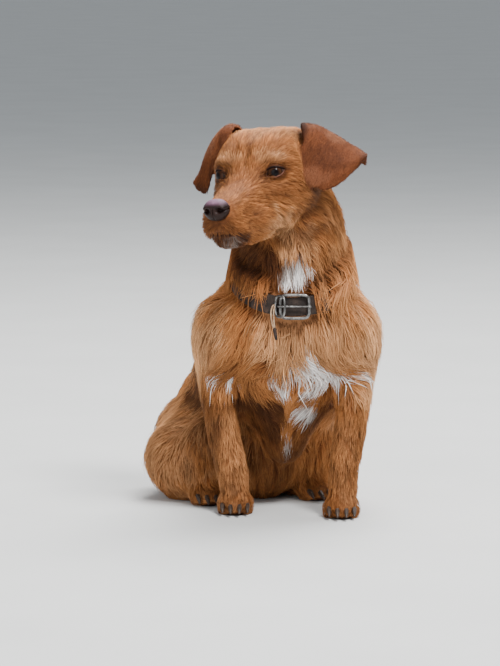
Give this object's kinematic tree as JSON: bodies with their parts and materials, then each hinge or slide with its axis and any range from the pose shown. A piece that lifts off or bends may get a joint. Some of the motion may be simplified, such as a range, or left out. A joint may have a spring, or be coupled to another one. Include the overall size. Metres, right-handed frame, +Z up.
{
  "type": "sitting terrier dog",
  "caption": "Life-size still model of a rough-coated red terrier cross, sitting with its head turned aside, ears folded, in a worn leather collar with a buckle and lead ring.",
  "frame": {"origin": "on the floor, under the middle of the whole model's bounding box", "axes": "+Z up; the chest faces -Y and the rump and tail lie towards +Y; +X is the dog's left side; the face is turned about 28 degrees towards -X"},
  "size_m": [0.241, 0.3732, 0.394],
  "materials": {
    "coat": "rough fox-red hair",
    "ear_coat": "short velvety dark red hair",
    "nose_leather": "damp liver-coloured nose leather",
    "eye": "wet dark brown eye",
    "claw_horn": "dark horn",
    "strap_leather": "worn dark brown leather",
    "steel": "worn nickel-plated steel"
  },
  "bodies": {
    "root": {"head": "coat", "lower_jaw": "coat", "neck": "coat", "trunk": "coat", "tail": "coat", "foreleg_left": "coat", "foreleg_right": "coat", "forepaw_left": "coat", "forepaw_right": "coat", "hindleg_left": "coat", "hindleg_right": "coat", "ear_left": "ear_coat", "ear_right": "ear_coat", "nose": "nose_leather", "eye_left": "eye", "eye_right": "eye", "claw_fore_left_1": "claw_horn", "claw_fore_left_2": "claw_horn", "claw_fore_left_3": "claw_horn", "claw_fore_left_4": "claw_horn", "claw_fore_right_1": "claw_horn", "claw_fore_right_2": "claw_horn", "claw_fore_right_3": "claw_horn", "claw_fore_right_4": "claw_horn", "claw_hind_left_1": "claw_horn", "claw_hind_left_2": "claw_horn", "claw_hind_left_3": "claw_horn", "claw_hind_left_4": "claw_horn", "claw_hind_right_1": "claw_horn", "claw_hind_right_2": "claw_horn", "claw_hind_right_3": "claw_horn", "claw_hind_right_4": "claw_horn", "collar_strap": "strap_leather", "collar_keeper": "strap_leather", "collar_thong": "strap_leather", "collar_buckle": "steel", "collar_prong": "steel", "collar_ring": "steel"}
  },
  "joints": []
}
